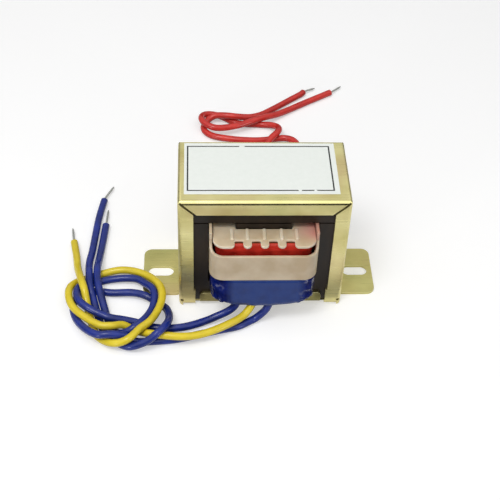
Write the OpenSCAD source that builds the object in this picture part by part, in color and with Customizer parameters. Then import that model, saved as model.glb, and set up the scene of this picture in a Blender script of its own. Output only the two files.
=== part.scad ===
// Open-frame isolation transformer: EI core in a folded steel bracket, two-part coil former, flying leads.
// Millimetres. Origin on the mounting plane, midway between the two foot slots; front towards -Y.

/* [Core] */
// Width of the E and I laminations
lam_w = 57; // [51:0.5:66]
// Thickness of the lamination stack
stack = 30.5; // [24:0.5:40]
// Width of the centre limb
limb_w = 19; // [16:0.5:21]
// Width of each outer limb
outer_limb = 9.5; // [7:0.5:11]
// Height of the lower yoke and of the I laminations
yoke = 9.5; // [8:0.5:12]
// Height of the winding window
window_h = 28.5; // [27:0.5:34]
// Bevel where the E and I laminations butt
butt_bevel = 0.3; // [0.1:0.1:0.6]

/* [Bracket] */
// Thickness of the bracket sheet
sheet = 1; // [0.8:0.1:1.2]
// Outer radius of the bends
bend_r = 1.4; // [1.3:0.1:2]
// Height of the lips along the roof
roof_lip = 5.9; // [4:0.1:8]
// Width of the lips along the side plates
side_lip = 5.3; // [4:0.1:7]
// Extra width at the lower end of the side lips
lip_step = 0.6; // [0:0.1:1]
// Height of that wider lower end
lip_step_h = 6.5; // [4:0.5:9]
// Open mitre between neighbouring lips
mitre_gap = 0.8; // [0.3:0.1:1]
// Radius of the relief holes at the lower ends of the side lips
relief_r = 0.6; // [0.4:0.1:0.8]
// Length of the tabs folded under the base plate
tab_len = 7; // [4:0.5:12]

/* [Base plate] */
// Length of each foot beyond the bracket
foot_len = 13.4; // [11:0.2:18]
// Width of the feet
foot_w = 23; // [16:0.5:24]
// Corner radius of the feet
foot_r = 3; // [1:0.5:5]
// Width of a slot
slot_w = 4.8; // [3.4:0.2:5.4]
// Distance from a slot to the end of its foot
slot_end = 1.8; // [1.2:0.1:3]
// Distance from a slot to the step in its foot
slot_step = 1.3; // [0.8:0.1:2]
// Length along which a foot steps down by one sheet thickness
joggle = 2; // [1.5:0.1:2.4]
// Length of the upturned lips
base_lip_w = 43.9; // [30:0.1:44.6]
// Height of the upturned lips
base_lip_h = 5.2; // [4:0.1:8]
// Corner radius of the upturned lips
base_lip_r = 1.6; // [0.5:0.1:2.4]
// Clearance between the base plate and the bracket
base_gap = 0.1; // [0.05:0.05:0.2]
// Clearance of the bracket round a foot, and between its lips and tabs
foot_gap = 0.4; // [0.2:0.1:0.8]

/* [Coil formers] */
// Clearance between the centre limb and the formers
limb_gap = 0.2; // [0.1:0.05:0.4]
// Wall of the former tubes
tube_wall = 1; // [0.8:0.1:1.2]
// Thickness of the flanges and of the cup floor
flange_t = 1; // [0.8:0.1:1.4]
// Overhang of the cup beyond the core, front and back
cup_reach = 9.75; // [9:0.05:11]
// Wall of the insulating cup
cup_wall = 1; // [0.8:0.1:1.2]
// Outer corner radius of the cup
cup_r = 5; // [3:0.5:6]
// Clearance between the cup and the core
cup_gap = 0.2; // [0.1:0.05:0.4]
// Depth of the scooped rim at the front and back of the cup
scoop = 6.4; // [4:0.1:8]
// Height of the lower winding
secondary_h = 9.4; // [7:0.1:11]
// Depth of the upper flange below the rim of the cup
rim_drop = 2.2; // [1.5:0.1:3]
// Inset of the flanges from the outside of the cup, along the sides
flange_side_inset = 1.2; // [1.1:0.05:1.6]
// Inset of the flanges from the outside of the cup, front and back
flange_end_inset = 0.7; // [0.5:0.05:1.2]
// Inset of the hidden flange inside the cup
hidden_inset = 1.2; // [1.1:0.05:1.6]
// Distance between the wire notches
notch_pitch = 5.85; // [5.6:0.05:6.4]
// Width of a wire notch
notch_w = 3; // [3:0.1:3.4]
// Depth of a wire notch
notch_depth = 3.3; // [2.9:0.1:3.6]
// Radius of the tongues between the notches
tongue_r = 1.4; // [0.4:0.1:1.4]
// Width of the guide ribs
rib_w = 1.2; // [0.6:0.1:1.4]
// Height of the guide ribs
rib_h = 0.5; // [0.3:0.1:1]

/* [Windings and tape] */
// Gap between the upper winding's tape and the cup, along the sides
primary_side_gap = 0.8; // [0.4:0.1:1.6]
// Gap between the upper winding's tape and the cup, front and back
primary_end_gap = 2; // [1.5:0.1:3]
// Thickness of the tape wraps
tape_t = 0.4; // [0.2:0.1:0.6]
// Gap between the lower winding's tape and the core
secondary_side_gap = 0.6; // [0.4:0.1:1]
// Depth of the pocket that holds the lower winding's lead ends
lead_pocket = 3.2; // [3.2:0.1:3.4]
// Gap between the lower flange and the tape over it
flange_cover_gap = 0.2; // [0.1:0.05:0.4]
// Drop of that tape below the lower flange, in the middle
cover_drop = 2.7; // [1:0.1:4]
// Rise of its lower edge from the middle to the corners
cover_rise = 2.6; // [0.5:0.1:3]

/* [Leads] */
// Diameter of the insulated leads
lead_d = 2.8; // [2.4:0.1:2.9]
// Diameter of the tinned conductor
wire_d = 0.9; // [0.6:0.1:1.2]
// Diameter of a sleeved splice
splice_d = 1.6; // [1.2:0.1:2]
// Length of a sleeved splice
splice_len = 4.4; // [3:0.1:4.6]
// Clearance of a splice in the winding, all round
splice_gap = 0.05; // [0.05:0.05:0.1]
// Clearance of a lead from what it passes
lead_gap = 0.2; // [0.1:0.05:0.25]
// Straight run of a lower lead below its flange
front_run = 2; // [1:0.1:3]
// Straight run of an upper lead out of its winding
back_run = 3.5; // [2.5:0.1:5]
// Length of the bare end that runs on straight
bare_straight = 1; // [0.8:0.1:3]

/* [Label] */
// Width of the label
label_w = 52.8; // [40:0.2:54]
// Depth of the label
label_d = 26.8; // [20:0.2:27]
// Thickness of the label
label_t = 0.15; // [0.05:0.05:0.3]
// Sideways place of the label's middle
label_x = -0.9; // [-0.9:0.1:0.9]
// Front-to-back place of the label's middle
label_y = 1.2; // [-1.2:0.1:1.2]

/* [Hidden] */
$fn = 48;
cut = 1;

// Heights, from the mounting plane up
base_z = sheet;
core_z = base_z + sheet;
window_z = core_z + yoke;
butt_z = window_z + window_h;
roof_z = butt_z + yoke + sheet;

// Outside of the bracket
half_w = lam_w / 2 + sheet;
half_d = stack / 2 + sheet;

// Feet, from the middle outwards: where the step begins and ends, the slot, and the end
step_in = half_w - sheet - base_gap;
step_out = step_in + joggle;
foot_x = half_w + foot_len;
slot_in = step_out + slot_step;
slot_out = foot_x - slot_end;

// Coil formers: half sizes in plan
window_x = lam_w / 2 - outer_limb;
limb_hole = [limb_w / 2 + limb_gap, stack / 2 + limb_gap];
tube = limb_hole + [tube_wall, tube_wall];
cup = [window_x - cup_gap, stack / 2 + cup_reach];
cup_in = cup - [cup_wall, cup_wall];
flange = cup - [flange_side_inset, flange_end_inset];
hidden_flange = cup - [hidden_inset, hidden_inset];
flange_r = cup_r - cup_wall;
notch_y = flange[1] - notch_depth;
notches = [-1.5, -0.5, 0.5, 1.5];
ribs = [-1.9, -1, 0, 1, 1.9];
tip_r = min(tongue_r, (notch_pitch - notch_w) / 2 - 0.02);

// Coil formers: heights
lower_z = window_z + flange_t;
cup_z = lower_z + secondary_h;
inner_z = cup_z + flange_t;
upper_z = inner_z + flange_t;
cup_top = butt_z - cup_gap;
flange_top = cup_top - rim_drop;
upper_top = flange_top - flange_t;
primary_h = upper_top - upper_z;
scoop_z = cup_top - scoop;
scoop_r = 3;
scoop_y = cup[1] - cup_r;

// Windings and tape: half sizes in plan
primary_wrap = cup_in - [primary_side_gap, primary_end_gap];
primary_coil = primary_wrap - [tape_t, tape_t];
secondary_wrap = [window_x - secondary_side_gap, flange[1] + flange_cover_gap + tape_t];
secondary_coil = [secondary_wrap[0] - tape_t, secondary_wrap[1] - tape_t - lead_pocket];
coil_r = 3;
cover_r = flange_r + flange_cover_gap + tape_t;

// Lead exits: the lower leads hang in the front notches, the upper ones leave over the scooped rim
exit_y = secondary_coil[1] + lead_d / 2 + lead_gap;
exit_z = cup_z - splice_len - lead_gap;
red_y = primary_wrap[1];
red_z = scoop_z + lead_d / 2 + lead_gap;

function front_exit(place) =
    [for (z = [exit_z - splice_gap, window_z + front_run, window_z - front_run])
        [place * notch_pitch, -exit_y, z]];
function back_exit(place) =
    [for (y = [red_y + splice_gap, red_y + back_run / 2, red_y + back_run]) [place * notch_pitch, y, red_z]];

// Lead routes: each runs from its exit to the table, through its knot and out to the bare end
yellow_route = concat(front_exit(-0.5), [
    [-3.9, -23.6, 7], [-5.1, -24.6, 5.6], [-6.8, -26.1, 4.7], [-9.9, -28.3, 4.4], [-17, -32, 4],
    [-23.5, -34, 3.6], [-30.2, -35, 4.3], [-39, -33.4, 4], [-43, -30.6, 1.7], [-46.3, -29, 1.7],
    [-49.4, -28.7, 3.4], [-53, -30.4, 4.9], [-57.1, -30.1, 4.9], [-61.9, -26.8, 4.8],
    [-67.1, -21.5, 4.7], [-69.2, -15.9, 4.6], [-69.1, -10.7, 3.8], [-66.5, -6.5, 2.3],
    [-62, -3.6, 1.4], [-57.2, -1.6, 1.5], [-51.5, -0.8, 2.3], [-45.8, -2.1, 2.9], [-40.5, -5.5, 3.7],
    [-36.8, -11.1, 5.3], [-35.5, -17.3, 6.1], [-36.7, -23.2, 5.8], [-39.3, -28.6, 5.7],
    [-43, -32.4, 5.7], [-46.4, -36.5, 5.5], [-50.2, -37.5, 4.1], [-54.4, -35.8, 2.5],
    [-58.3, -31.9, 1.5], [-60.7, -25.7, 1.7], [-62.5, -18.8, 3.2], [-63.8, -13.6, 6.3],
    [-65.4, -8.4, 6.3], [-67.1, -1.1, 3.9], [-68.3, 6.8, 2.2], [-69.9, 15.1, 1.4]]);
yellow_tip = [-71.1, 23, 1];

blue_route_a = concat(front_exit(-1.5), [
    [-9.7, -23, 6.5], [-12, -23.2, 4.1], [-15.7, -24.1, 2.6], [-20.1, -25.6, 1.6], [-26.4, -28, 1.6],
    [-32.8, -28.8, 1.4], [-38.7, -28.2, 1.4], [-44, -26.3, 1.6], [-49, -25.7, 2.6], [-54, -26, 4.3],
    [-58.7, -24.1, 4.9], [-62.8, -21.8, 5.8], [-65.3, -18.7, 5.6], [-66.4, -14.6, 4.9],
    [-65.9, -10.6, 3.8], [-63.8, -8.1, 2.2], [-60.3, -6.4, 1.4], [-55.1, -5, 1.6], [-49.8, -4.8, 2.1],
    [-45.2, -5.8, 2.7], [-41.9, -8.7, 3.3], [-39.3, -12.3, 4.5], [-38.4, -16.4, 4.7],
    [-39, -21.6, 4.2], [-41.3, -26.5, 4.4], [-44.1, -29.8, 4.6], [-46.6, -31.4, 3.6],
    [-49.2, -31.5, 2.1], [-51.7, -30.4, 1.4], [-53.7, -27.9, 1.4], [-54.9, -24.4, 1.4],
    [-56, -20.7, 1.8], [-57.8, -14.9, 3.6], [-58.8, -11.1, 4.4], [-59.6, -6.7, 4.3], [-59.8, -2, 4.3],
    [-59.7, 3.1, 2.9], [-59.3, 9.9, 1.8], [-58.8, 17.1, 1.4], [-58.3, 24.4, 1.4]]);
blue_tip_a = [-57.9, 33.5, 1];

blue_route_b = concat(front_exit(0.5), [
    [1.9, -23.6, 6.2], [0.3, -23.7, 3.5], [-2.9, -24.9, 1.4], [-8.4, -28, 1.4], [-15.7, -29.9, 1.4],
    [-23.1, -31.9, 1.4], [-31.2, -34, 1.4], [-43.2, -35, 1.4], [-48.3, -34.4, 4], [-52.9, -35, 5.7],
    [-57.9, -34.6, 5.2], [-62.6, -30.3, 3.6], [-66.2, -24.3, 2], [-67.7, -18.2, 1.4],
    [-66.8, -14.1, 1.4], [-64.1, -11.5, 1.4], [-60.2, -10.7, 1.4], [-54.4, -11.5, 1.4],
    [-46.3, -12.3, 2.3], [-41.2, -14.3, 2.5], [-37.4, -16.6, 1.4], [-34, -20.2, 2.2],
    [-32.9, -26.2, 4.2], [-34, -32, 6.9], [-36.6, -35.5, 7.1], [-40.6, -37.4, 4.6],
    [-46.3, -37.7, 2.2], [-50.7, -35.3, 1.4], [-55.8, -30.2, 1.4], [-58.5, -22.7, 1.4],
    [-60.6, -15.4, 2.8], [-62, -10.8, 4.5], [-62.6, -5.2, 4.7], [-63.1, 1.9, 3.2], [-62.6, 10.2, 1.7],
    [-62, 19.6, 1.4], [-61.2, 29.2, 1.4], [-59.8, 38.8, 1.4]]);
blue_tip_b = [-56.5, 47.3, 1];

red_route_a = concat(back_exit(0.5), [
    [2.9, 28.6, 34.1], [3, 31.2, 31.7], [3, 33.4, 27.6], [3.2, 36.3, 20], [3.8, 39.6, 12.6],
    [5, 43.8, 6.6], [7, 48.6, 3], [13.4, 57.3, 1.4], [17.6, 62.9, 1.4], [19.8, 67.7, 1.4],
    [19.9, 72.2, 2], [18.3, 75.8, 2], [15.2, 77.8, 1.7], [10.9, 77.8, 1.4], [4.2, 76.7, 1.4],
    [-3.4, 76.9, 1.4], [-10.3, 78, 1.4], [-15.8, 79.6, 1.4], [-18.9, 82.2, 1.4], [-19.9, 85.2, 1.4],
    [-19.2, 88, 1.5], [-17.5, 90.2, 2.2], [-14.6, 91.2, 3.3], [-10.1, 90.2, 4.2], [-4.7, 89.5, 4.1],
    [0.3, 90.4, 3.2], [5.1, 93.2, 2.3], [10.5, 97.9, 1.7], [16.3, 103.1, 1.4], [21.5, 107.4, 1.4],
    [23.8, 109.3, 1.4], [25.1, 110.9, 1.4]]);
red_tip_a = [30.5, 114.4, 1];

red_route_b = concat(back_exit(-0.5), [
    [-2.9, 28.6, 34.1], [-2.9, 31.2, 31.7], [-2.9, 33.4, 27.6], [-2.8, 36.2, 20], [-2.5, 39.5, 12.6],
    [-2, 43.6, 6.6], [-1.2, 48.4, 3], [1.5, 58, 1.4], [4.2, 64.4, 1.4], [6.1, 70.5, 2.9],
    [8.4, 74.8, 3.9], [11.3, 78.2, 4.4], [12.3, 81.1, 4], [11.6, 84, 3], [9.2, 86.2, 2.1],
    [5.2, 87.4, 1.4], [-1.2, 87.8, 1.4], [-6.5, 88.9, 1.4], [-11.7, 92.8, 1.4], [-15.1, 93.8, 1.8],
    [-17.7, 93.5, 2.3], [-19.6, 92.2, 3], [-20.7, 90.1, 3.6], [-20.7, 87.4, 4.2], [-19.2, 84.4, 4.4],
    [-15.6, 82.2, 4], [-10.8, 82.3, 3.8], [-4.4, 84.1, 3.9], [1.9, 86.7, 4.4], [6.3, 89.2, 4],
    [11.9, 93.2, 2.5], [17.7, 97.7, 1.6], [23.7, 102, 1.4], [30.4, 106.4, 1.4], [37.2, 110.8, 1.4]]);
red_tip_b = [42.5, 115.8, 1];

lead_sides = 8;
lead_red = "#D23C38";
lead_blue = "#2C349A";
lead_yellow = "#E6CB26";
tinned = "#B9BBBA";

// Plan shapes

module rounded(half, r) {
    square([2 * half[0] - 2 * r, 2 * half[1]], center = true);
    square([2 * half[0], 2 * half[1] - 2 * r], center = true);
    for (x = [-1, 1], y = [-1, 1])
        translate([x * (half[0] - r), y * (half[1] - r)]) circle(r);
}

module plain(half) {
    square(2 * half, center = true);
}

// The waste outside a rounded corner at the origin, for a corner that points to -X and +Y
module corner_waste(r) {
    difference() {
        translate([-cut, -r]) square([r + cut, r + cut]);
        translate([r, -r]) circle(r);
        translate([r, -2 * r]) square([2 * r, 4 * r]);
    }
}

module flange_outline() {
    difference() {
        rounded(flange, flange_r);
        plain(limb_hole);
        for (side = [0, 1], place = notches) mirror([0, side])
            translate([place * notch_pitch, 0]) wire_notch();
    }
}

module wire_notch() {
    translate([-notch_w / 2, notch_y]) square([notch_w, notch_depth + cut]);
    for (side = [0, 1]) mirror([side, 0])
        translate([notch_w / 2, flange[1]]) corner_waste(tip_r);
}

// Bracket

module upright(depth) {
    rotate([90, 0, 0]) linear_extrude(2 * depth, center = true) children();
}

module folded_box() {
    mid = roof_z / 2;
    intersection() {
        linear_extrude(roof_z) rounded([half_w, half_d], bend_r);
        translate([0, 0, mid]) upright(half_d) rounded([half_w, mid], bend_r);
        rotate([0, 0, 90]) upright(half_w) {
            translate([-half_d, 0]) square([2 * half_d, mid]);
            translate([0, mid]) rounded([half_d, mid], bend_r);
        }
    }
}

// The room for the core, which the sheet is folded tight round
module core_room(z) {
    translate([-lam_w / 2, -stack / 2, z]) cube([lam_w, stack, roof_z - sheet - z]);
}

module lip_window() {
    x = half_w - side_lip;
    z = roof_z - roof_lip;
    translate([-x, base_z + lip_step_h]) square([2 * x, z - base_z - lip_step_h]);
    translate([-x + lip_step, -cut]) square([2 * (x - lip_step), z]);
}

module mitres() {
    inner = max(side_lip, roof_lip) + cut;
    for (side = [0, 1]) mirror([side, 0])
        translate([half_w, roof_z]) rotate(-135)
            translate([sheet, -mitre_gap / 2]) square([inner * sqrt(2) - sheet, mitre_gap]);
}

module bracket_frame() {
    lip_mid = half_d - sheet / 2;
    color("#B5AB66") difference() {
        folded_box();
        core_room(base_z);
        upright(half_d + cut) lip_window();
        for (y = [-1, 1]) {
            translate([0, y * lip_mid, 0]) upright(sheet) mitres();
            translate([0, y * (half_d + cut / 2), base_z + foot_gap - cut])
                cube([2 * (half_w - bend_r), cut + 2 * sheet, 2 * cut], center = true);
            for (x = [-1, 1])
                translate([x * (half_w - bend_r + relief_r / 2), y * half_d, base_z + bend_r])
                    rotate([90, 0, 0]) cylinder(h = 2 * bend_r, r = relief_r, center = true);
        }
        translate([0, 0, base_z / 2])
            cube([2 * (half_w - tab_len), 2 * half_d + cut, base_z + cut], center = true);
        translate([0, 0, core_z / 2])
            cube([2 * half_w + cut, foot_w + 2 * foot_gap, core_z + foot_gap], center = true);
    }
}

// Base plate

module base_profile() {
    for (side = [0, 1]) mirror([side, 0])
        polygon([[0, base_z], [step_in, base_z], [step_out, 0], [foot_x, 0],
            [foot_x, sheet], [step_out, sheet], [step_in, core_z], [0, core_z]]);
}

module base_plan() {
    rounded([foot_x, foot_w / 2], foot_r);
    plain([step_in, half_d - sheet - base_gap]);
}

module slot() {
    ends = [slot_in + slot_w / 2, slot_out - slot_w / 2];
    for (x = ends) translate([x, 0, -cut]) cylinder(h = sheet + 2 * cut, d = slot_w);
    translate([ends[0], -slot_w / 2, -cut]) cube([ends[1] - ends[0], slot_w, sheet + 2 * cut]);
}

module base_lip() {
    half = base_lip_w / 2;
    rise = base_lip_h - bend_r;
    translate([-half, half_d - bend_r, base_z + bend_r]) rotate([90, 0, 90])
        cylinder(h = base_lip_w, r = bend_r);
    translate([0, half_d, base_z + bend_r]) rotate([90, 0, 0]) linear_extrude(sheet) {
        translate([-half, 0]) square([base_lip_w, rise - base_lip_r]);
        translate([0, rise / 2]) rounded([half, rise / 2], base_lip_r);
    }
}

module base_plate() {
    color("#A79D58") difference() {
        union() {
            intersection() {
                upright(half_d) base_profile();
                linear_extrude(roof_z) base_plan();
            }
            translate([-base_lip_w / 2, -half_d + bend_r, base_z])
                cube([base_lip_w, 2 * (half_d - bend_r), sheet]);
            for (side = [0, 1]) mirror([0, side, 0]) base_lip();
        }
        core_room(core_z);
        for (side = [0, 1]) mirror([side, 0, 0]) slot();
    }
}

// Core

module butt_bevels() {
    for (y = [-1, 1]) translate([0, y * stack / 2, butt_z]) rotate([45, 0, 0])
        cube([lam_w + cut, butt_bevel * sqrt(2), butt_bevel * sqrt(2)], center = true);
}

module e_laminations() {
    color("#4A4038") difference() {
        upright(stack / 2) difference() {
            translate([-lam_w / 2, core_z]) square([lam_w, yoke + window_h]);
            for (side = [0, 1]) mirror([side, 0])
                translate([limb_w / 2, window_z]) square([window_x - limb_w / 2, window_h + cut]);
        }
        butt_bevels();
    }
}

module i_laminations() {
    color("#45453E") difference() {
        translate([-lam_w / 2, -stack / 2, butt_z]) cube([lam_w, stack, yoke]);
        butt_bevels();
    }
}

// Coil formers

module guide_ribs() {
    front = stack / 2 + limb_gap;
    for (side = [0, 1], place = ribs) mirror([0, side, 0])
        translate([place * notch_pitch - rib_w / 2, front, flange_top])
            cube([rib_w, notch_y - front, rib_h]);
}

module primary_bobbin() {
    color("#CFC4B2") {
        translate([0, 0, inner_z]) linear_extrude(flange_top - inner_z) difference() {
            plain(tube);
            plain(limb_hole);
        }
        translate([0, 0, inner_z]) linear_extrude(flange_t) difference() {
            rounded(hidden_flange, flange_r);
            plain(limb_hole);
        }
        translate([0, 0, upper_top]) linear_extrude(flange_t) flange_outline();
        guide_ribs();
    }
}

module scoops() {
    for (side = [0, 1]) mirror([0, side, 0]) rotate([90, 0, 90])
        linear_extrude(2 * cup[0] + cut, center = true) {
            translate([scoop_y, scoop_z + scoop_r]) square([2 * cup_r, scoop]);
            translate([scoop_y + scoop_r, scoop_z]) square([2 * cup_r, scoop + cut]);
            translate([scoop_y + scoop_r, scoop_z + scoop_r]) circle(scoop_r);
        }
}

module secondary_bobbin() {
    color("#CFC4B2") {
        translate([0, 0, window_z]) linear_extrude(flange_t) flange_outline();
        translate([0, 0, window_z]) linear_extrude(inner_z - window_z) difference() {
            plain(tube);
            plain(limb_hole);
        }
        translate([0, 0, cup_z]) linear_extrude(flange_t) difference() {
            rounded(cup, cup_r);
            plain(limb_hole);
        }
        difference() {
            translate([0, 0, cup_z]) linear_extrude(cup_top - cup_z) difference() {
                rounded(cup, cup_r);
                rounded(cup_in, cup_r - cup_wall);
            }
            scoops();
        }
    }
}

// Windings, tape and splices

module red_exits(d) {
    for (place = [-0.5, 0.5])
        translate([place * notch_pitch, red_y, red_z]) rotate([90, 0, 0]) cylinder(h = splice_len, d = d);
}

module primary_winding() {
    color("#8C4A2A") difference() {
        translate([0, 0, upper_z]) linear_extrude(primary_h) difference() {
            rounded(primary_coil, flange_r);
            plain(tube);
        }
        red_exits(splice_d + 2 * splice_gap);
    }
}

module primary_tape() {
    color("#B0261C") difference() {
        translate([0, 0, upper_z]) linear_extrude(primary_h) difference() {
            rounded(primary_wrap, flange_r + tape_t);
            rounded(primary_coil, flange_r);
        }
        red_exits(splice_d + 2 * splice_gap);
    }
}

module primary_splices() {
    color("#D8D2C0") red_exits(splice_d);
}

module secondary_winding() {
    color("#8C4A2A") translate([0, 0, lower_z]) linear_extrude(secondary_h) difference() {
        rounded(secondary_coil, coil_r);
        plain(tube);
    }
}

module cover_outline(inset) {
    front = secondary_wrap - [inset, inset];
    intersection() {
        rounded(front, cover_r - inset);
        translate([-front[0], -front[1]]) square([2 * front[0], front[1]]);
    }
    rounded([front[0], secondary_coil[1] + tape_t - inset], coil_r + tape_t - inset);
}

module secondary_tape() {
    bow = (pow(secondary_wrap[0], 2) + pow(cover_rise, 2)) / (2 * cover_rise);
    skirt_z = window_z - cover_drop;
    color("#26367C") {
        translate([0, 0, lower_z]) linear_extrude(secondary_h) difference() {
            cover_outline(0);
            cover_outline(tape_t);
        }
        intersection() {
            translate([0, 0, skirt_z]) linear_extrude(lower_z - skirt_z) difference() {
                cover_outline(0);
                cover_outline(tape_t);
                translate([-half_w, -stack / 2 - limb_gap]) square([2 * half_w, 2 * half_d]);
            }
            translate([0, 0, skirt_z + bow]) rotate([90, 0, 0]) cylinder(h = 4 * half_d, r = bow, $fn = 96);
        }
    }
}

module secondary_splices() {
    color("#D8D2C0") for (place = [-1.5, -0.5, 0.5])
        translate([place * notch_pitch, -exit_y, exit_z]) cylinder(h = splice_len, d = splice_d);
}

// Leads

function unit(v) = v / norm(v);
function curve(a, b, c, d, t) =
    (2 * b + (c - a) * t + (2 * a - 5 * b + 4 * c - d) * t * t + (3 * b - a - 3 * c + d) * t * t * t) / 2;

// A smooth curve through the points of a route, with one more point midway in each span
function smooth(p) = let (n = len(p) - 1) [
    for (i = [0:n - 1], t = [0, 0.5])
        curve(i > 0 ? p[i - 1] : 2 * p[0] - p[1], p[i], p[i + 1], i < n - 1 ? p[i + 2] : 2 * p[n] - p[n - 1], t),
    p[n]];

// The same curve, lying on the table and not in it
function grounded(p, d) = [for (q = p) [q[0], q[1], max(q[2], d / 2)]];

module round_wire(route, d) {
    path = grounded(smooth(route), d);
    last = len(path) - 1;
    along = [for (i = [0:last]) unit(path[min(i + 1, last)] - path[max(i - 1, 0)])];
    across = [for (i = 0, a = unit(cross(along[0], [1, 0.3, 0.2])); i <= last;
        i = i + 1, a = i <= last ? unit(a - (a * along[i]) * along[i]) : a) a];
    rings = [for (i = [0:last], k = [0:lead_sides - 1]) let (turn = 360 * k / lead_sides)
        path[i] + d / 2 * (cos(turn) * across[i] + sin(turn) * cross(along[i], across[i]))];
    walls = [for (i = [0:last - 1], k = [0:lead_sides - 1])
        let (a = i * lead_sides + k, b = i * lead_sides + (k + 1) % lead_sides)
        each [[a, a + lead_sides, b + lead_sides], [a, b + lead_sides, b]]];
    polyhedron(rings, concat([[for (k = [0:lead_sides - 1]) k]], walls,
        [[for (k = [lead_sides - 1:-1:0]) last * lead_sides + k]]), convexity = 10);
}

module bare_end(route, tip) {
    end = route[len(route) - 1];
    ahead = unit(end - route[len(route) - 2]);
    color(tinned) round_wire([end + 2 * splice_gap * ahead, end + bare_straight * ahead, tip], wire_d);
}

module red_lead_a() { color(lead_red) round_wire(red_route_a, lead_d); }
module red_lead_b() { color(lead_red) round_wire(red_route_b, lead_d); }
module blue_lead_a() { color(lead_blue) round_wire(blue_route_a, lead_d); }
module blue_lead_b() { color(lead_blue) round_wire(blue_route_b, lead_d); }
module yellow_lead() { color(lead_yellow) round_wire(yellow_route, lead_d); }

module red_end_a() { bare_end(red_route_a, red_tip_a); }
module red_end_b() { bare_end(red_route_b, red_tip_b); }
module blue_end_a() { bare_end(blue_route_a, blue_tip_a); }
module blue_end_b() { bare_end(blue_route_b, blue_tip_b); }
module yellow_end() { bare_end(yellow_route, yellow_tip); }

// Label

module label() {
    color("#F1F3EF") translate([label_x - label_w / 2, label_y - label_d / 2, roof_z])
        cube([label_w, label_d, label_t]);
}

bracket_frame();
base_plate();
e_laminations();
i_laminations();
primary_bobbin();
secondary_bobbin();
primary_winding();
secondary_winding();
primary_tape();
secondary_tape();
primary_splices();
secondary_splices();
label();
red_lead_a();
red_lead_b();
blue_lead_a();
blue_lead_b();
yellow_lead();
red_end_a();
red_end_b();
blue_end_a();
blue_end_b();
yellow_end();
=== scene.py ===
"""Looks of an open-frame isolation transformer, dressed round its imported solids.

Metres, in the frame of the solids: the feet stand on z = 0 and the front looks towards -Y.
Sizes are written in millimetres and turned to metres where a mesh or a pattern is made.
"""
import math

import bmesh
import bpy
import numpy as np
from mathutils import Matrix, Vector, noise


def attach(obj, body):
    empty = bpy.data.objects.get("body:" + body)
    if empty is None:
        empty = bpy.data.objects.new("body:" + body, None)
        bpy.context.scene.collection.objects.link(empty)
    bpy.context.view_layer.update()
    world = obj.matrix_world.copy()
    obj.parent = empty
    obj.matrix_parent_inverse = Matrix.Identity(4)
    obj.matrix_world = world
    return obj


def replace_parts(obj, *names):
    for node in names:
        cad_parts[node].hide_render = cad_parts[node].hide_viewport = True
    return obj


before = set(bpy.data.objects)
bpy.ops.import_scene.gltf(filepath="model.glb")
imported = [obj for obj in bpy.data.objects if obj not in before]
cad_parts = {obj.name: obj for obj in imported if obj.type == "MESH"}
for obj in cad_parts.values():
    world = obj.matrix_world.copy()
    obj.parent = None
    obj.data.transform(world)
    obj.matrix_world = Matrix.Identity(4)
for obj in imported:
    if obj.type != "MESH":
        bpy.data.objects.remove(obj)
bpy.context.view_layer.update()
bpy.context.scene.view_settings.view_transform = "Standard"

MM = 0.001
BODY = "root"

# Sizes shared with the solids, in millimetres
LEAD_D = 2.8
WIRE_D = 0.9
NOTCH_PITCH = 5.85
TAPE_T = 0.4
SHEET_T = 1.0
BEND_R = 1.4
ROOF_Z = 50.5
BUTT_Z = 40.0
CORE_Z = 2.0
WINDOW_Z = 11.5

# Left and right end of the smooth second layer at the front of the blue tape, in millimetres; between them the
# tape is painted paler, a painted sheen
PANEL = (-11.5, 13.8)


# Small tools

def linear(colour):
    """Linear RGBA of an sRGB hex colour."""
    parts = [int(colour[i:i + 2], 16) / 255 for i in (1, 3, 5)]
    return [c / 12.92 if c <= 0.04045 else ((c + 0.055) / 1.055) ** 2.4 for c in parts] + [1.0]


def put(name, data):
    """A new object at the origin of the scene."""
    made = bpy.data.objects.new(name, data)
    bpy.context.scene.collection.objects.link(made)
    return made


def mesh_piece(name, points, faces, finish, edges=()):
    """A new mesh object; its points are in millimetres."""
    mesh = bpy.data.meshes.new(name)
    mesh.from_pydata([tuple(Vector(p) * MM) for p in points], edges, faces)
    mesh.materials.append(finish)
    return put(name, mesh)


def settle(piece):
    """Turns a piece's modifiers into plain mesh."""
    graph = bpy.context.evaluated_depsgraph_get()
    mesh = bpy.data.meshes.new_from_object(piece.evaluated_get(graph))
    piece.modifiers.clear()
    piece.data = mesh
    return piece


def smooth(piece, angle=35):
    """Smooth shading, kept sharp where faces meet at more than the angle."""
    piece.data.shade_smooth()
    piece.data.set_sharp_from_angle(angle=math.radians(angle))
    return piece


def thicken(piece, thickness):
    """Gives a sheet its thickness, inwards from its face."""
    wall = piece.modifiers.new("thickness", "SOLIDIFY")
    wall.thickness, wall.offset = thickness * MM, -1
    return smooth(settle(piece), 50)


def dress(piece, slot, *nodes):
    """The piece stands for its CAD nodes, which it hides, and hangs from the body. The slot is not used."""
    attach(piece, BODY)
    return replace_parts(piece, *nodes)


# Nodes of shaders and of geometry

def node(tree, kind, inputs=None, **settings):
    """Adds a node. Settings are its own properties; an input is a value, or the socket that feeds it."""
    made = tree.nodes.new(kind)
    for name, value in settings.items():
        setattr(made, name, value)
    for key, value in (inputs or {}).items():
        if isinstance(value, bpy.types.NodeSocket):
            tree.links.new(value, made.inputs[key])
        else:
            made.inputs[key].default_value = value
    return made


def calc(tree, operation, *values):
    """The result of one maths operation on values or sockets."""
    return node(tree, "ShaderNodeMath", dict(enumerate(values)), operation=operation).outputs[0]


def scaled(tree, vector, factor):
    """A vector times a factor."""
    return node(tree, "ShaderNodeVectorMath", {0: vector, "Scale": factor}, operation="SCALE").outputs[0]


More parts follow.
